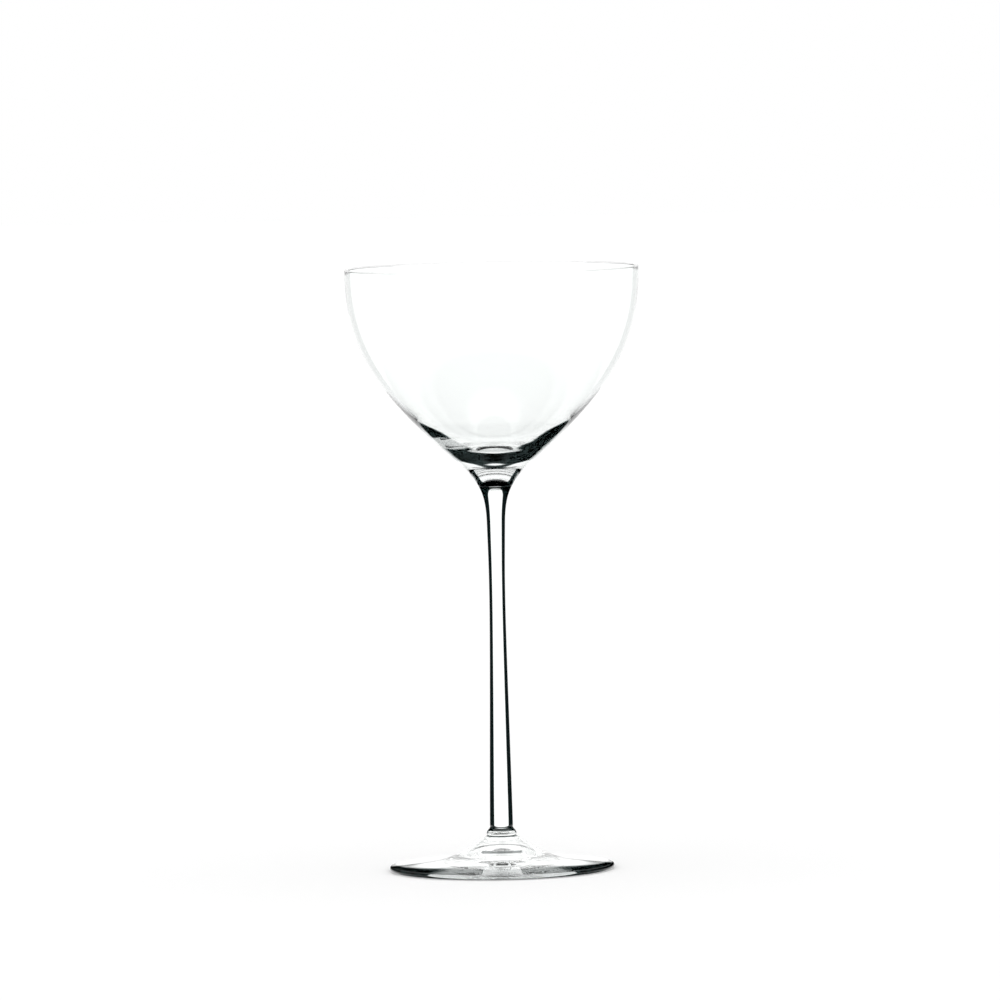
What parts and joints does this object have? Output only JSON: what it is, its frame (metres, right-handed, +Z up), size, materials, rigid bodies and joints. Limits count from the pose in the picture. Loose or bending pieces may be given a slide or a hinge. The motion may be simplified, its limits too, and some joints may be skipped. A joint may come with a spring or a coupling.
{
  "type": "nick and nora glass",
  "caption": "Small stemmed cocktail glass with a tulip bowl, a slender waisted stem, a collar and a round hollow foot.",
  "frame": {"origin": "centre of the plane that the foot rests on", "axes": "+Z up the axis of the glass, from the foot to the lip"},
  "size_m": [0.0852, 0.0852, 0.175],
  "materials": {
    "clear_glass": "fire-polished clear glass with a faint grey-green edge"
  },
  "bodies": {
    "root": {"bowl": "clear_glass", "stem": "clear_glass", "stem_collar": "clear_glass", "foot": "clear_glass"}
  },
  "joints": []
}
